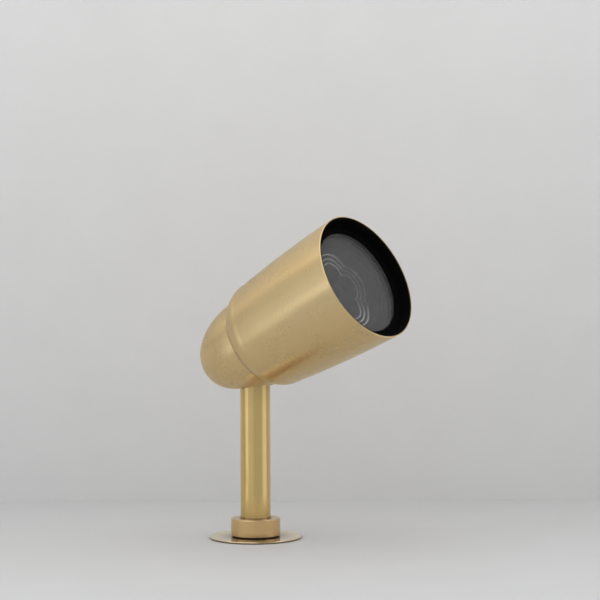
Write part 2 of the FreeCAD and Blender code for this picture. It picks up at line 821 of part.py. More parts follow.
def lamp_holder():
    """Ceramic block with bowed ends, sockets for the pins and a sunk hole for each screw."""
    half_x = "holder_width / 2"
    half_y = "(holder_length - holder_width) / 2"
    corners = [
        (f"-{half_x}", f"-{half_y}"),
        (half_x, f"-{half_y}"),
        (half_x, half_y),
        (f"-{half_x}", half_y),
    ]
    ends = {0: ("holder_end_radius", 1), 2: ("holder_end_radius", 1)}
    body = padded("holder_block", corners, ends, "holder_height", HOLDER_FOOT)
    holes = []
    for y in ("-pin_spacing / 2", "pin_spacing / 2"):
        holes.append(cylinder("pin_radius + slip", "holder_height", ("0", y, HOLDER_FOOT)))
    for y in ("-holder_screw_spacing / 2", "holder_screw_spacing / 2"):
        way = cylinder("holder_screw_radius + screw_hole_clearance", "holder_height", ("0", y, HOLDER_FOOT))
        sunk_at = ("0", y, f"{HOLDER_TOP} - holder_head_thickness")
        sunk = cylinder("holder_head_radius + head_hole_clearance", "holder_head_thickness", sunk_at)
        holes += [way, sunk]
    keep_in_head("lamp_holder", cut("holder", body, *holes))


def holder_screws():
    """Slotted screws, sunk in the holder and threaded into the capsule's back wall."""
    head_foot = f"{HOLDER_TOP} - holder_head_thickness"
    foot = f"({BACK_WALL_FRONT} - holder_screw_reach + screw_bottom_gap)"
    screws = []
    for side, y in (("left", "holder_screw_spacing / 2"), ("right", "-holder_screw_spacing / 2")):
        head = cylinder("holder_head_radius", "holder_head_thickness", ("0", y, head_foot))
        shank = cylinder("holder_screw_radius", f"{head_foot} - {foot}", ("0", y, foot))
        slot_at = ("-holder_head_radius", f"{y} - driver_slot / 2", f"{HOLDER_TOP} - driver_slot")
        slot = box("2 * holder_head_radius", "driver_slot", "driver_slot", slot_at)
        screws.append(cut(side + "_holder_screw", fuse(side + "_holder_blank", head, shank), slot))
    keep_in_head("holder_screws", group("screws_of_holder", *screws))


def holder_spacers():
    """Two sleeves that hold the lamp holder off the capsule's back wall."""
    length = f"{HOLDER_FOOT} - {BACK_WALL_FRONT}"
    spacers = []
    for side, y in (("left", "holder_screw_spacing / 2"), ("right", "-holder_screw_spacing / 2")):
        at = ("0", y, BACK_WALL_FRONT)
        spacers.append(cut(side + "_spacer",
                           cylinder("spacer_radius", length, at),
                           cylinder("holder_screw_radius + screw_hole_clearance", length, at)))
    keep_in_head("holder_spacers", group("spacers", *spacers))


def lead_wires():
    """The two cores between the cable's end and the lamp holder's contacts."""
    foot = f"{HOLDER_FOOT} - wire_length"
    wires = []
    for y in ("-wire_spacing / 2", "wire_spacing / 2"):
        wires.append(cylinder("wire_radius", "wire_length", ("0", y, foot)))
    keep_in_head("lead_wires", group("cores", *wires))


# ---- Head: gland, cable and yoke ------------------------------------------------------------------

def cable_gland():
    """Hexagonal flange outside the back wall and a hollow thread through it."""
    flange_foot = "capsule_back_reach - gland_flange_thickness"
    flats = "gland_flange_radius * sqrt(3)"
    flange = hex_prism(flats, "gland_flange_thickness", ("0", "0", flange_foot))
    thread = cylinder("gland_thread_radius", "gland_length", ("0", "0", "capsule_back_reach"))
    way = cylinder("cable_radius + slip", "2 * gland_length", ("0", "0", flange_foot))
    seat = cylinder("gland_bore_radius", "gland_length", ("0", "0", "capsule_back_reach"))
    keep_in_head("cable_gland", cut("gland", fuse("gland_blank", flange, thread), way, seat))


def gland_seal():
    foot = "capsule_back_reach + slip"
    top = "capsule_back_reach + gland_length"
    piece = tube("seal", "gland_bore_radius - slip", "cable_radius + slip", foot, top)
    keep_in_head("gland_seal", piece)


def gland_nut():
    at = ("0", "0", BACK_WALL_FRONT)
    blank = hex_prism("gland_nut_flats", "gland_nut_thickness", at)
    bore = cylinder("gland_thread_radius + slip", "gland_nut_thickness", at)
    keep_in_head("gland_nut", cut("nut", blank, bore))


def head_cable():
    """Cable from the lamp holder to the pivot. Its round end lies on the pivot's axis, so it stays
    over the end of the stem's cable at every tilt."""
    top = f"{HOLDER_FOOT} - wire_length"
    run = cylinder("cable_radius", top, ("0", "0", "0"))
    keep_in_head("head_cable", fuse("upper_cable", run, ball("cable_radius", ("0", "0", "0"))))


YOKE_PLATE_FOOT = "(capsule_back_reach - yoke_plate_thickness)"


def yoke_bracket():
    """Plate on the capsule's back wall, with an ear down each side of the fork."""
    inner = "(knuckle_half_width + washer_thickness + ear_clearance)"
    half_y = f"({inner} + yoke_ear_thickness)"
    plate_at = ("-yoke_plate_width / 2", f"-{half_y}", YOKE_PLATE_FOOT)
    pieces = [box("yoke_plate_width", f"2 * {half_y}", "yoke_plate_thickness", plate_at)]
    for y in (inner, f"-{half_y}"):
        pieces.append(box("2 * yoke_ear_radius", "yoke_ear_thickness", "capsule_back_reach",
                          ("-yoke_ear_radius", y, "0")))
        pieces.append(cylinder("yoke_ear_radius", "yoke_ear_thickness", ("0", y, "0"), "y"))
    pivot_at = ("0", f"-{half_y}", "0")
    screw_way = "yoke_screw_radius + screw_hole_clearance"
    holes = [cylinder("yoke_hole_radius", "yoke_plate_thickness", ("0", "0", YOKE_PLATE_FOOT))]
    holes.append(cylinder("pivot_radius + pivot_slip", f"2 * {half_y}", pivot_at, "y"))
    for x in ("-yoke_screw_x", "yoke_screw_x"):
        for y in ("-yoke_screw_y", "yoke_screw_y"):
            holes.append(cylinder(screw_way, "yoke_plate_thickness", (x, y, YOKE_PLATE_FOOT)))
    keep_in_head("yoke_bracket", cut("yoke", fuse("yoke_blank", *pieces), *holes))


def yoke_screws():
    """Four socket screws through the yoke's plate into the capsule's back wall."""
    shank_length = "yoke_plate_thickness + yoke_screw_depth - screw_bottom_gap"
    screws = []
    for end, x in (("lower", "yoke_screw_x"), ("upper", "-yoke_screw_x")):
        for side, y in (("left", "yoke_screw_y"), ("right", "-yoke_screw_y")):
            name = f"{end}_{side}_yoke_screw"
            head_at = (x, y, f"{YOKE_PLATE_FOOT} - yoke_head_thickness")
            head = cylinder("yoke_head_radius", "yoke_head_thickness", head_at)
            shank = cylinder("yoke_screw_radius", shank_length, (x, y, YOKE_PLATE_FOOT))
            socket = hex_prism("yoke_socket_flats", "yoke_socket_depth", head_at)
            screws.append(cut(name, fuse(name + "_blank", head, shank), socket))
    keep_in_head("yoke_screws", group("screws_of_yoke", *screws))


# ---- Build, check and write -----------------------------------------------------------------------

base_disc()
foot_gasket()
foot_collar()
collar_grub_screw()
collar_o_ring()
stem_tube()
stem_knuckle()
knuckle_pins()
stem_grommet()
stem_cable()
pivot_screws()
friction_washers()
front_hood()
rear_cover()
glare_baffle()
lens()
lens_gasket()
lamp_capsule()
capsule_o_ring()
lamp_reflector()
lamp_front_glass()
lamp_emitters()
lamp_pins()
lamp_holder()
holder_screws()
holder_spacers()
lead_wires()
cable_gland()
gland_seal()
gland_nut()
head_cable()
yoke_bracket()
yoke_screws()
document.recompute()

for item in document.Objects:
    if "Invalid" in item.State or "Error" in item.State:
        raise RuntimeError(f"{item.Name} did not build: {item.State}")
for piece in sub_parts:
    if piece.Shape.isNull() or not piece.Shape.isValid() or not piece.Shape.Solids:
        raise RuntimeError(f"{piece.Label} has no valid solid")

os.makedirs("parts", exist_ok=True)
for piece in sub_parts:
    piece.Shape.exportStep(f"parts/{piece.Label}.step")
    print(f"{piece.Label:20s} {len(piece.Shape.Solids)} solid(s) {piece.Shape.Volume:10.1f} mm3")
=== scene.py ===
import json
import math

import bpy
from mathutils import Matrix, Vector


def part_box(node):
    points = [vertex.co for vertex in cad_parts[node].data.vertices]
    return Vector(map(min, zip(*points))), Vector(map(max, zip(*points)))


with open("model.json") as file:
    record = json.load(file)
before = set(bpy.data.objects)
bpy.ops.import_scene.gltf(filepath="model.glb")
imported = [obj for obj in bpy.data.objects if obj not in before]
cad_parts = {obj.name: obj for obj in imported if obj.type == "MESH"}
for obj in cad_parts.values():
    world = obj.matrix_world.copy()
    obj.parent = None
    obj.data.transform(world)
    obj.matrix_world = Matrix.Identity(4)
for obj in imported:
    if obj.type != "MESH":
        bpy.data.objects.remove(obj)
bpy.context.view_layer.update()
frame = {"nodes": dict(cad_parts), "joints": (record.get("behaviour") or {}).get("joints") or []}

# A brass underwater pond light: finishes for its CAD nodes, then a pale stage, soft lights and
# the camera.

MM = 0.001
WHITE = (1.0, 1.0, 1.0)
BLACK_PAINT = (0.004, 0.004, 0.004)


# ---- The frame --------------------------------------------------------------------------------

def joint(name):
    return next(entry for entry in frame["joints"] if entry["name"] == name)


def middle(node):
    low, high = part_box(node)
    return (low + high) / 2


PIVOT = Vector(joint("head_tilt")["pos_m"])
# The head's axis runs from the pivot through the middle of the window.
HEAD_AXIS = (middle("lens") - PIVOT).normalized()
HEAD_TURN = Vector((0, 0, 1)).rotation_difference(HEAD_AXIS)


# ---- Node trees -------------------------------------------------------------------------------

class Shader:
    """A material's node tree, built one node at a time."""

    def __init__(self, name):
        self.material = bpy.data.materials.new(name)
        self.material.use_nodes = True
        self.tree = self.material.node_tree
        self.tree.nodes.clear()

    def add(self, kind, inputs=None, **settings):
        """Adds a node. inputs maps socket names or numbers to values or to other sockets."""
        made = self.tree.nodes.new("ShaderNode" + kind)
        for name, value in settings.items():
            setattr(made, name, value)
        for key, value in (inputs or {}).items():
            self.feed(made.inputs[key], value)
        return made

    def feed(self, socket, value):
        if isinstance(value, bpy.types.NodeSocket):
            self.tree.links.new(value, socket)
        elif isinstance(value, (tuple, list)) and len(value) == 3 and socket.type == "RGBA":
            socket.default_value = (*value, 1.0)
        else:
            socket.default_value = value

    def math(self, operation, *values):
        made = self.add("Math", dict(enumerate(values)), operation=operation)
        return made.outputs[0]

    def vector(self, operation, *values):
        made = self.add("VectorMath", dict(enumerate(values)), operation=operation)
        single = operation in ("LENGTH", "DISTANCE", "DOT_PRODUCT")
        return made.outputs["Value"] if single else made.outputs[0]

    def noise(self, vector, scale, detail=2.0, roughness=0.5):
        inputs = {"Vector": vector, "Scale": scale, "Detail": detail, "Roughness": roughness}
        return self.add("TexNoise", inputs).outputs["Fac"]

    def span(self, value, low, high, out_low, out_high):
        """Maps value from low..high to out_low..out_high, clamped."""
        inputs = {"Value": value, "From Min": low, "From Max": high,
                  "To Min": out_low, "To Max": out_high}
        return self.add("MapRange", inputs).outputs["Result"]

    def vary(self, noise, out_low, out_high):
        """Maps the range in which a noise mostly lies to out_low..out_high, clamped."""
        return self.span(noise, 0.3, 0.7, out_low, out_high)

    def steps(self, value, points):
        """A line through (value, result) points, flat beyond its ends."""
        total = points[0][1]
        for (low, first), (high, last) in zip(points, points[1:]):
            total = self.math("ADD", self.span(value, low, high, 0.0, last - first), total)
        return total

    def mix(self, factor, first, second):
        made = self.add("Mix", data_type="RGBA")
        self.feed(made.inputs[0], factor)
        self.feed(made.inputs[6], first)
        self.feed(made.inputs[7], second)
        return made.outputs[2]

    def bump(self, height, strength, distance):
        inputs = {"Height": height, "Strength": strength, "Distance": distance}
        return self.add("Bump", inputs).outputs["Normal"]

    def finish(self, surface):
        output = self.add("OutputMaterial")
        self.tree.links.new(surface, output.inputs["Surface"])
        return self.material


def upright(shader):
    """Coordinates in metres for the foot and the stem, with Z along the stem."""
    return shader.add("TexCoord").outputs["Object"]


def along_head(shader):
    """Coordinates in metres from the tilt pivot, with Z along the head's axis."""
    turn = HEAD_TURN.to_euler()
    inputs = {"Vector": upright(shader), "Location": tuple(PIVOT), "Rotation": tuple(turn)}
    return shader.add("Mapping", inputs, vector_type="TEXTURE").outputs["Vector"]


def off_axis(shader, place):
    """The part of place that is square to the axis, which is Z."""
    return shader.vector("MULTIPLY", place, (1.0, 1.0, 0.0))


def distance_out(shader, place):
    """Distance from the axis of the given coordinates."""
    return shader.vector("LENGTH", off_axis(shader, place))


# The cosines of the turn at an edge where its wear begins and where it is full.
WEAR_BEGINS = 0.995
WEAR_IS_FULL = 0.93


def edge_mask(shader, radius):
    """1 where the surface turns sharply within radius, 0 on the open faces."""
    rounded = shader.add("Bevel", {"Radius": radius}, samples=4).outputs["Normal"]
    flat = shader.add("NewGeometry").outputs["Normal"]
    turn = shader.vector("DOT_PRODUCT", rounded, flat)
    return shader.span(turn, WEAR_BEGINS, WEAR_IS_FULL, 0.0, 1.0)


# How far the lathe marks' noise runs in one turn, and how their rings on a flat face are spaced
# against those along the axis.
RING_CHANGE = 0.9
FACE_SPACING = 0.8


def turned_lines(shader, place, fineness):
    """Fine rings left by a lathe tool: a noise that changes along the axis and outwards, and
    hardly at all round the axis."""
    across = shader.vector("NORMALIZE", off_axis(shader, place))
    around = shader.vector("MULTIPLY", across, (RING_CHANGE, RING_CHANGE, RING_CHANGE))
    radius = distance_out(shader, place)
    height = shader.add("SeparateXYZ", {"Vector": place}).outputs["Z"]
    ring = shader.math("MULTIPLY_ADD", radius, FACE_SPACING, height)
    travel = shader.math("MULTIPLY", ring, fineness)
    lifted = shader.add("CombineXYZ", {"Z": travel}).outputs["Vector"]
    return shader.noise(shader.vector("ADD", around, lifted), 1.0, 3.0, 0.65)


# How much slower the marks of drawn tube change along it than across.
DRAWN_STRETCH = 0.012


def drawn_lines(shader, place, fineness):
    """Fine straight marks along Z, as on drawn tube."""
    inputs = {"Vector": place, "Scale": (1.0, 1.0, DRAWN_STRETCH)}
    stretched = shader.add("Mapping", inputs).outputs["Vector"]
    return shader.noise(stretched, fineness, 3.0, 0.6)


# The share of the sky from which a point counts as being in the open.
OPEN_SKY = 0.92


def in_corners(shader, reach, depth, start):
    """How deep in a corner or under another piece a point lies: 0 in the open, and depth where
    only a share start of the sky above it is open. Brass uses it to paint shade into its colour."""
    open_part = shader.add("AmbientOcclusion", {"Distance": reach}, samples=4).outputs["AO"]
    return shader.span(open_part, start, OPEN_SKY, depth, 0.0)


# Painted shade: the brown that brass is darkened to in corners, creases and under other pieces.
CORNER_SHADE_BROWN = (0.11, 0.062, 0.026)
# Painted reflection: where other pieces mirror brass, it shows this paler colour instead of its
# own.
PAINTED_REFLECTION_BRASS = (0.74, 0.62, 0.45)
WORN_WIDTH = 0.35 * MM
# Dull and bright patches and worn edges, as multiples of the brass's colour.
DULL = 0.95
BRIGHT = 1.06
WORN = 1.18
# How much of BRIGHT the machining marks show, and of WORN the edges.
MARK_SHARE = 0.02
WORN_SHARE = 0.6
# How much the patches, the machining marks and the wear change the roughness.
PATCH_ROUGHNESS = 0.015
MARK_ROUGHNESS = 0.004
WORN_POLISH = 0.06
# The grain of patches and specks, in cycles per metre, and the height of specks against marks.
PATCH_GRAIN = 55.0
SPECK_GRAIN = 900.0
SPECK_HEIGHT = 0.25
RELIEF = 0.05


def tinted(colour, factor):
    return tuple(min(1.0, channel * factor) for channel in colour)


def brass(name, place_of, colour, roughness, lines, line_depth, anisotropy=0.0, fineness=2600.0,
          black_within=0.0, corner_reach=3.0 * MM, corner_depth=0.6, corner_start=0.3,
          mirrored=PAINTED_REFLECTION_BRASS):
    """Satin brass. lines(shader, place) gives the direction of its machining marks. Within
    black_within of the axis it is painted black. In corners and under other pieces its colour is
    darkened to brown: painted shade. Where other pieces mirror it, it has the colour mirrored
    instead of its own: a painted reflection."""
    shader = Shader(name)
    place = place_of(shader)
    marks = lines(shader, place, fineness)
    cloud = shader.noise(place, PATCH_GRAIN, 3.0, 0.55)
    speck = shader.noise(place, SPECK_GRAIN, 2.0, 0.6)
    worn = edge_mask(shader, WORN_WIDTH)
    patches = shader.span(cloud, 0.35, 0.65, 0.0, 1.0)
    base = shader.mix(patches, tinted(colour, DULL), colour)
    base = shader.mix(shader.vary(marks, 0.0, MARK_SHARE), base, tinted(colour, BRIGHT))
    base = shader.mix(shader.math("MULTIPLY", worn, WORN_SHARE), base, tinted(colour, WORN))
    # Painted shade: the colour darkens to brown where the sky is hidden, in corners and under
    # other pieces.
    corner_shade = in_corners(shader, corner_reach, corner_depth, corner_start)
    base = shader.mix(corner_shade, base, CORNER_SHADE_BROWN)
    # Painted reflection: rays mirrored off other pieces see the colour mirrored instead of the
    # brass's own.
    base = shader.mix(shader.add("LightPath").outputs["Is Glossy Ray"], base, mirrored)
    patch_change = shader.vary(cloud, -PATCH_ROUGHNESS, PATCH_ROUGHNESS)
    mark_change = shader.vary(marks, -MARK_ROUGHNESS, MARK_ROUGHNESS)
    rough = shader.math("ADD", roughness, patch_change)
    rough = shader.math("ADD", rough, mark_change)
    rough = shader.math("SUBTRACT", rough, shader.math("MULTIPLY", worn, WORN_POLISH))
    height = shader.math("MULTIPLY_ADD", speck, SPECK_HEIGHT, marks)
    inputs = {
        "Base Color": base,
        "Metallic": 1.0,
        "Roughness": rough,
        "Normal": shader.bump(height, RELIEF, line_depth),
    }
    surface = shader.add("BsdfPrincipled", inputs)
    if anisotropy:
        # Turned marks run round the axis, so they smear a highlight along it.
        along = shader.add("VectorTransform", {"Vector": tuple(HEAD_AXIS)}, vector_type="VECTOR",
                           convert_from="OBJECT", convert_to="WORLD").outputs[0]
        surface.inputs["Anisotropic"].default_value = anisotropy
        shader.feed(surface.inputs["Tangent"], along)
    if black_within:
        paint = shader.add("BsdfDiffuse", {"Color": BLACK_PAINT}).outputs[0]
        painted = shader.math("LESS_THAN", distance_out(shader, place), black_within)
        surface = shader.add("MixShader", {0: painted, 1: surface.outputs[0], 2: paint})
    return shader.finish(surface.outputs[0])


def plain(name, colour, roughness, metallic=0.0, grain=1400.0, depth=0.02 * MM, spread=0.05,
          shine=0.5):
    """A fine-grained solid colour: rubber, nylon, ceramic, steel or paint."""
    shader = Shader(name)
    place = upright(shader)
    fine = shader.noise(place, grain, 3.0, 0.6)
    cloud = shader.noise(place, 90.0, 2.0, 0.5)
    base = shader.mix(shader.vary(cloud, 0.0, 1.0), tinted(colour, 0.8), colour)
    rough = shader.vary(fine, roughness - spread, roughness + spread)
    inputs = {"Base Color": base, "Metallic": metallic, "Roughness": rough,
              "Specular IOR Level": shine, "Normal": shader.bump(fine, 0.4, depth)}
    return shader.finish(shader.add("BsdfPrincipled", inputs).outputs[0])


GLASS_REFRACTION = 1.5
GLASS_ROUGHNESS = 0.2
HAZE_WHITE = (0.95, 0.95, 0.95)


def frosted_pane(name, tint, frost, shine, black_from=1.0):
    """Glass that bends light, scatters a share of it on its faces and mirrors only faintly.
    Beyond black_from, in metres from the head's axis, its ground edge is painted black."""
    shader = Shader(name)
    place = along_head(shader)
    bent = shader.add("BsdfRefraction", {"Color": tint, "IOR": GLASS_REFRACTION, "Roughness": 0.0})
    through = shader.add("BsdfTransparent", {"Color": tint})
    shadow = shader.add("LightPath").outputs["Is Shadow Ray"]
    clear = shader.add("MixShader", {0: shadow, 1: bent.outputs[0], 2: through.outputs[0]})
    cloud = shader.noise(place, 160.0, 4.0, 0.6)
    scatter = shader.add("BsdfDiffuse", {"Color": HAZE_WHITE})
    share = shader.vary(cloud, frost * 0.93, frost * 1.07)
    hazed = shader.add("MixShader", {0: share, 1: clear.outputs[0], 2: scatter.outputs[0]})
    mirror = shader.add("BsdfGlossy", {"Roughness": GLASS_ROUGHNESS})
    grazing = shader.add("Fresnel", {"IOR": GLASS_REFRACTION}).outputs[0]
    mirrored = shader.add("MixShader", {0: shader.math("MULTIPLY", grazing, shine),
                                        1: hazed.outputs[0], 2: mirror.outputs[0]})
    paint = shader.add("BsdfDiffuse", {"Color": BLACK_PAINT})
    edge = shader.math("GREATER_THAN", distance_out(shader, place), black_from)
    mixed = shader.add("MixShader", {0: edge, 1: mirrored.outputs[0], 2: paint.outputs[0]})
    return shader.finish(mixed.outputs[0])


# The lamp's five cups: how far off the head's axis they sit, the radii of their stepped edges, the
# width of the painted highlight line along each edge, and the direction in which that painted
# sheen is strongest.
CUP_COUNT = 5
CUP_OFFSET = 9.0 * MM
CUP_EDGES = (10.7 * MM, 8.6 * MM, 6.5 * MM)
CUP_LINE = 0.25 * MM
PAINTED_SHEEN_TURN = math.radians(14)
LEAST_PAINTED_SHEEN = 0.22
MOULDING_BLACK = (0.006, 0.006, 0.0065)
PAINTED_GLINT_WHITE = (0.95, 0.96, 0.98)


def lamp_moulding(name):
    """Black moulded lamp body. Light lines are painted on the edges of its stepped cups as
    highlights, brightest in one direction across the lamp and dimmest at right angles to it: a
    painted sheen."""
    shader = Shader(name)
    place = along_head(shader)
    flat = off_axis(shader, place)
    nearest = 1.0
    for cup in range(CUP_COUNT):
        turn = math.tau * (cup + 0.5) / CUP_COUNT
        centre = (CUP_OFFSET * math.cos(turn), CUP_OFFSET * math.sin(turn), 0.0)
        away = shader.vector("DISTANCE", flat, centre)
        nearest = shader.math("MINIMUM", away, nearest)
    line = 0.0
    for radius in CUP_EDGES:
        off = shader.math("ABSOLUTE", shader.math("SUBTRACT", nearest, radius))
        line = shader.math("MAXIMUM", shader.span(off, CUP_LINE * 0.5, CUP_LINE, 1.0, 0.0), line)
    across = (math.cos(PAINTED_SHEEN_TURN), math.sin(PAINTED_SHEEN_TURN), 0.0)
    outside = shader.math("GREATER_THAN", distance_out(shader, place), CUP_OFFSET)
    line = shader.math("MULTIPLY", line, outside)
    facing = shader.vector("DOT_PRODUCT", shader.vector("NORMALIZE", flat), across)
    squared = shader.math("MULTIPLY", facing, facing)
    painted_sheen = shader.span(squared, 0.35, 0.85, LEAST_PAINTED_SHEEN, 1.0)
    fine = shader.noise(place, 1500.0, 3.0, 0.6)
    # Painted highlight: the cup edges are coloured near white, more so where the painted sheen
    # faces across.
    painted_glint = shader.math("MULTIPLY", line, painted_sheen)
    inputs = {"Base Color": shader.mix(painted_glint, MOULDING_BLACK, PAINTED_GLINT_WHITE),
              "Roughness": shader.vary(fine, 0.5, 0.62),
              "Specular IOR Level": 0.1, "Normal": shader.bump(fine, 0.3, 0.02 * MM)}
    return shader.finish(shader.add("BsdfPrincipled", inputs).outputs[0])


# ---- Materials on the CAD nodes ---------------------------------------------------------------

BRASS_SHELL = (0.80, 0.59, 0.295)
BRASS_STEM = (0.82, 0.575, 0.225)
BRASS_COLLAR = (0.78, 0.53, 0.25)
BRASS_DISC = (0.95, 0.80, 0.52)
# The collar's painted reflection colour, seen where other pieces mirror it.
PAINTED_REFLECTION_COLLAR = (0.46, 0.31, 0.17)

hood_brass = brass("hood_brass", along_head, BRASS_SHELL, 0.28, turned_lines, 0.0006 * MM, 0.75)
inner_brass = brass("inner_brass", along_head, BRASS_SHELL, 0.38, turned_lines, 0.008 * MM)
capsule_brass = brass("capsule_brass", along_head, BRASS_SHELL, 0.38, turned_lines, 0.008 * MM,
                      black_within=26.2 * MM)
# The stem's painted shade reaches 14 mm, so it darkens the stem's top under the head and its foot
# in the collar.
stem_brass = brass("stem_brass", upright, BRASS_STEM, 0.13, drawn_lines, 0.004 * MM,
                   fineness=5200.0, corner_reach=14.0 * MM)
collar_brass = brass("collar_brass", upright, BRASS_COLLAR, 0.24, turned_lines, 0.008 * MM,
                     corner_depth=0.95, mirrored=PAINTED_REFLECTION_COLLAR)
# The disc's painted shade darkens it round the foot of the collar.
disc_brass = brass("disc_brass", upright, BRASS_DISC, 0.14, turned_lines, 0.006 * MM,
                   corner_reach=8.0 * MM, corner_depth=0.9, corner_start=0.55)
black_liner = plain("black_liner", (0.002, 0.0018, 0.0018), 0.85, grain=2200.0, shine=0.05)
black_rubber = plain("black_rubber", (0.012, 0.012, 0.012), 0.7)
black_cable = plain("black_cable", (0.014, 0.014, 0.014), 0.5)
steel = plain("steel", (0.50, 0.50, 0.50), 0.32, metallic=1.0)
nylon = plain("nylon", (0.70, 0.70, 0.66), 0.45)
ceramic = plain("ceramic", (0.80, 0.78, 0.72), 0.18, depth=0.01 * MM)
wire_red = plain("wire_red", (0.35, 0.05, 0.03), 0.45)
window_glass = frosted_pane("window_glass", (0.96, 0.96, 0.96), 0.044, 0.25,
                            black_from=26.3 * MM)
lamp_cover = frosted_pane("lamp_cover", (0.97, 0.97, 0.97), 0.002, 0.05)
lamp_body = lamp_moulding("lamp_body")
emitter = plain("emitter", (0.10, 0.095, 0.07), 0.25, depth=0.005 * MM)

FINISHES = {
    "base_disc": disc_brass,
    "foot_gasket": black_rubber,
    "foot_collar": collar_brass,
    "collar_grub_screw": steel,
    "collar_o_ring": black_rubber,
    "stem_tube": stem_brass,
    "stem_knuckle": collar_brass,
    "knuckle_pins": steel,
    "stem_grommet": black_rubber,
    "stem_cable": black_cable,
    "pivot_screws": steel,
    "friction_washers": nylon,
    "front_hood": hood_brass,
    "rear_cover": hood_brass,
    "glare_baffle": black_liner,
    "lens": window_glass,
    "lens_gasket": black_rubber,
    "lamp_capsule": capsule_brass,
    "capsule_o_ring": black_rubber,
    "lamp_reflector": lamp_body,
    "lamp_front_glass": lamp_cover,
    "lamp_emitters": emitter,
    "lamp_pins": steel,
    "lamp_holder": ceramic,
    "holder_screws": steel,
    "holder_spacers": nylon,
    "lead_wires": wire_red,
    "cable_gland": inner_brass,
    "gland_seal": black_rubber,
    "gland_nut": inner_brass,
    "head_cable": black_cable,
    "yoke_bracket": steel,
    "yoke_screws": steel,
}


def dress(node, material):
    slots = frame["nodes"][node].data.materials
    slots.clear()
    slots.append(material)


for node_name, finish in FINISHES.items():
    dress(node_name, finish)


# ---- Stage: floor, backdrop, lights and camera ------------------------------------------------

VIEW_AZIMUTH = math.radians(38.8)
CAMERA_DISTANCE = 0.8
CAMERA_SIDE = 0.02263
CAMERA_HEIGHT = 0.11875
CAMERA_ROLL = math.radians(0.25)
LENS_LENGTH = 96.0
WALL_BEHIND = 0.144

TOWARDS = Vector((math.sin(VIEW_AZIMUTH), -math.cos(VIEW_AZIMUTH), 0))
RIGHT = Vector((math.cos(VIEW_AZIMUTH), math.sin(VIEW_AZIMUTH), 0))
UP = Vector((0, 0, 1))


def seen(right, up, towards):
    """A point given as the camera sees it: to its right, up, and towards it from the stem."""
    return RIGHT * right + UP * up + TOWARDS * towards


def pale(name, shade, way, painted_shade_points, mirrored, one_sided=False):
    """Matt pale surface with a faint mottle. Its shade is multiplied by a first list of points,
    which paints light and shade along way, and once more, only where it shows in polished brass,
    by a second list, a painted reflection; both are (distance along way, factor) points. A
    one-sided one can't be seen from behind."""
    shader = Shader(name)
    place = upright(shader)
    mottle = shader.vary(shader.noise(place, 25.0, 4.0, 0.6), 0.985, 1.015)
    along = shader.vector("DOT_PRODUCT", place, tuple(way))
    painted_level = shader.math("MULTIPLY", shader.steps(along, painted_shade_points), shade)
    level = shader.math("MULTIPLY", painted_level, mottle)
    # Painted reflection: where the brass mirrors it, the surface is given a darker shade.
    reflected = shader.add("LightPath").outputs["Is Glossy Ray"]
    painted_reflection_factor = shader.span(reflected, 0.0, 1.0, 1.0, shader.steps(along, mirrored))
    level = shader.math("MULTIPLY", level, painted_reflection_factor)
    base = shader.add("CombineColor", {0: level, 1: level, 2: level}).outputs[0]
    matt = shader.add("BsdfPrincipled", {"Base Color": base, "Roughness": 0.7}).outputs[0]
    if one_sided:
        behind = shader.add("NewGeometry").outputs["Backfacing"]
        clear = shader.add("BsdfTransparent").outputs[0]
        matt = shader.add("MixShader", {0: behind, 1: matt, 2: clear}).outputs[0]
    return shader.finish(matt)


def sheet(name, corners, material):
    mesh = bpy.data.meshes.new(name)
    mesh.from_pydata([tuple(corner) for corner in corners], [], [(0, 1, 2, 3)])
    mesh.materials.append(material)
    made = bpy.data.objects.new(name, mesh)
    bpy.context.scene.collection.objects.link(made)


def hidden_light(name, corners, faces, levels, tint=WHITE, only_on=()):
    """A glowing sheet that the camera can't see. levels is the brightness at each corner. If
    only_on names CAD nodes, it is clear glass to all else, and only adds light on those."""
    shader = Shader(name)
    level = shader.add("Attribute", attribute_name="level").outputs["Fac"]
    glow = shader.add("Emission", {"Color": tint, "Strength": level}).outputs[0]
    if only_on:
        clear = shader.add("BsdfTransparent").outputs[0]
        glow = shader.add("AddShader", {0: glow, 1: clear}).outputs[0]
    mesh = bpy.data.meshes.new(name)
    mesh.from_pydata([tuple(corner) for corner in corners], [], faces)
    mesh.attributes.new("level", "FLOAT", "POINT").data.foreach_set("value", levels)
    mesh.materials.append(shader.finish(glow))
    made = bpy.data.objects.new(name, mesh)
    bpy.context.scene.collection.objects.link(made)
    made.visible_camera = False
    made.visible_shadow = False
    if only_on:
        lit = bpy.data.collections.new(name + "_lit")
        for node in only_on:
            lit.objects.link(frame["nodes"][node])
        made.light_linking.receiver_collection = lit
    return made


COOL = (1.0, 1.06, 1.16)


def fan(name, azimuths, rows, only_on=()):
    """A soft box that only shows in the brass. azimuths are seen from the stem, with 0 towards
    the camera; each row is (reach, height, brightness at each azimuth)."""
    corners = []
    levels = []
    for reach, height, row_levels in rows:
        for azimuth in azimuths:
            turn = math.radians(azimuth)
            corners.append(seen(math.sin(turn) * reach, height, math.cos(turn) * reach))
        levels += row_levels
    across = len(azimuths)
    faces = [(row * across + column, row * across + column + 1,
              (row + 1) * across + column + 1, (row + 1) * across + column)
             for row in range(len(rows) - 1) for column in range(across - 1)]
    made = hidden_light(name, corners, faces, levels, COOL, only_on)
    made.visible_diffuse = False


def square(reach):
    """The corners of a level square on the ground."""
    return [(-reach, -reach, 0), (reach, -reach, 0), (reach, reach, 0), (-reach, reach, 0)]


FLOOR_REACH = 3.0
FLOOR_SHADE = 0.66
# Painted shade: the floor is darker towards the backdrop and lighter towards the camera.
FLOOR_PAINTED_SHADE = [(-WALL_BEHIND, 0.91), (0.14, 1.04)]
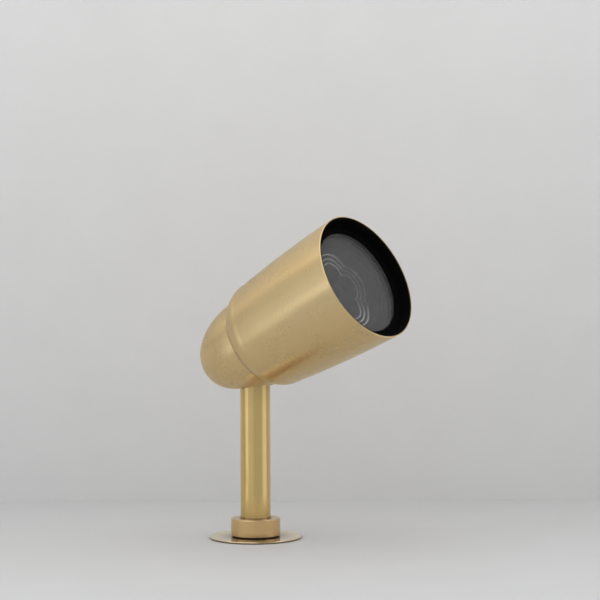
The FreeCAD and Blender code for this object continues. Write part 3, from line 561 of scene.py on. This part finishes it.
# Painted reflection: where the brass mirrors the floor, it is darker towards the camera.
FLOOR_PAINTED_REFLECTION = [(-WALL_BEHIND, 1.0), (-0.06, 0.88)]
WALL_REACH = 1.5
WALL_SHADE = 0.80
# Painted shade: the backdrop is darker towards the bottom and lighter towards the top.
WALL_PAINTED_SHADE = [(0.0, 0.937), (0.28, 1.126)]
# Painted reflection: where the brass mirrors the backdrop, it is darker from about 0.1 to 0.25 m
# up.
WALL_PAINTED_REFLECTION = [(0.04, 1.0), (0.13, 0.80), (0.20, 0.79), (0.28, 0.95)]

sheet("floor", square(FLOOR_REACH),
      pale("floor_matt", FLOOR_SHADE, TOWARDS, FLOOR_PAINTED_SHADE, FLOOR_PAINTED_REFLECTION))
sheet("backdrop", [seen(-WALL_REACH, 0, -WALL_BEHIND), seen(WALL_REACH, 0, -WALL_BEHIND),
                   seen(WALL_REACH, WALL_REACH, -WALL_BEHIND),
                   seen(-WALL_REACH, WALL_REACH, -WALL_BEHIND)],
      pale("wall_matt", WALL_SHADE, UP, WALL_PAINTED_SHADE, WALL_PAINTED_REFLECTION, one_sided=True))


def studio_sky():
    """Even pale surroundings, a little brighter on the camera's left."""
    world = bpy.data.worlds.new("studio")
    bpy.context.scene.world = world
    world.use_nodes = True
    tree = world.node_tree
    background = tree.nodes["Background"]
    way = tree.nodes.new("ShaderNodeTexCoord")
    facing = tree.nodes.new("ShaderNodeVectorMath")
    facing.operation = "DOT_PRODUCT"
    facing.inputs[1].default_value = seen(-0.87, 0.15, 0.5).normalized()
    tree.links.new(way.outputs["Generated"], facing.inputs[0])
    span = tree.nodes.new("ShaderNodeMapRange")
    span.interpolation_type = "SMOOTHSTEP"
    for name, value in (("From Min", 0.4), ("From Max", 0.9), ("To Min", 0.47), ("To Max", 0.60)):
        span.inputs[name].default_value = value
    tree.links.new(facing.outputs["Value"], span.inputs["Value"])
    tree.links.new(span.outputs["Result"], background.inputs["Strength"])
    background.inputs["Color"].default_value = (1.0, 1.0, 1.0, 1.0)


studio_sky()

# A low soft box to the left, with a foot on the floor; two fainter ones inside it, for the head
# and for the stem; a low card all round the front; and a wide soft box overhead.
JUST_ABOVE = 0.0005
LEFT_REACH = 0.80
fan("left_box", (-92, -82, -76, -55, -51),
    [(0.25, JUST_ABOVE, (0.38, 0.42, 0.60, 0.88, 0.57)),
     (0.37, JUST_ABOVE, (0.38, 0.44, 0.82, 0.88, 0.57)),
     (LEFT_REACH, JUST_ABOVE, (0.50, 0.60, 0.86, 0.86, 0.57)),
     (LEFT_REACH, 0.12, (0.62, 0.76, 0.80, 0.78, 0.57)),
     (LEFT_REACH, 0.45, (0.60, 0.63, 0.63, 0.63, 0.57))])

HEAD_LIGHT_REACH = LEFT_REACH - 0.01
HEAD_LIGHT_FOOT = 2 * JUST_ABOVE
fan("head_light", (-78, -72, -55, -51),
    [(0.25, HEAD_LIGHT_FOOT, (0.0, 0.0, 0.30, 0.0)),
     (0.37, HEAD_LIGHT_FOOT, (0.0, 0.22, 0.38, 0.0)),
     (HEAD_LIGHT_REACH, HEAD_LIGHT_FOOT, (0.0, 0.34, 0.32, 0.0)),
     (HEAD_LIGHT_REACH, 0.12, (0.0, 0.03, 0.03, 0.0))],
    only_on=("front_hood", "rear_cover"))

CARD_REACH = 0.15
STEM_LIGHT = (0.0, 0.24, 0.24, 0.0)
fan("stem_light", (-80, -76, -57, -53),
    [(CARD_REACH, JUST_ABOVE, STEM_LIGHT), (CARD_REACH, 0.0114, STEM_LIGHT)],
    only_on=("stem_tube",))

CARD_LIGHT = (0.57, 0.57, 0.46, 0.46, 0.52, 0.77, 0.77, 0.52)
fan("front_card", (-52, -19, -6, 42, 54, 64, 88, 96),
    [(CARD_REACH, JUST_ABOVE, CARD_LIGHT), (CARD_REACH, 0.085, CARD_LIGHT)])

TOP_HEIGHT = 0.6
TOP_REACH = 0.9
hidden_light("top_box",
             [seen(-TOP_REACH, TOP_HEIGHT, -WALL_BEHIND),
              seen(TOP_REACH, TOP_HEIGHT, -WALL_BEHIND),
              seen(TOP_REACH, TOP_HEIGHT, TOP_REACH),
              seen(-TOP_REACH, TOP_HEIGHT, TOP_REACH)],
             [(0, 1, 2, 3)], (1.3, 1.3, 1.0, 1.0))

camera_data = bpy.data.cameras.new("camera")
camera_data.lens = LENS_LENGTH
camera = bpy.data.objects.new("camera", camera_data)
camera.location = seen(CAMERA_SIDE, CAMERA_HEIGHT, CAMERA_DISTANCE)
camera.rotation_euler = (math.radians(90), CAMERA_ROLL, VIEW_AZIMUTH)
bpy.context.scene.collection.objects.link(camera)
bpy.context.scene.camera = camera
bpy.context.scene.view_settings.view_transform = "Standard"
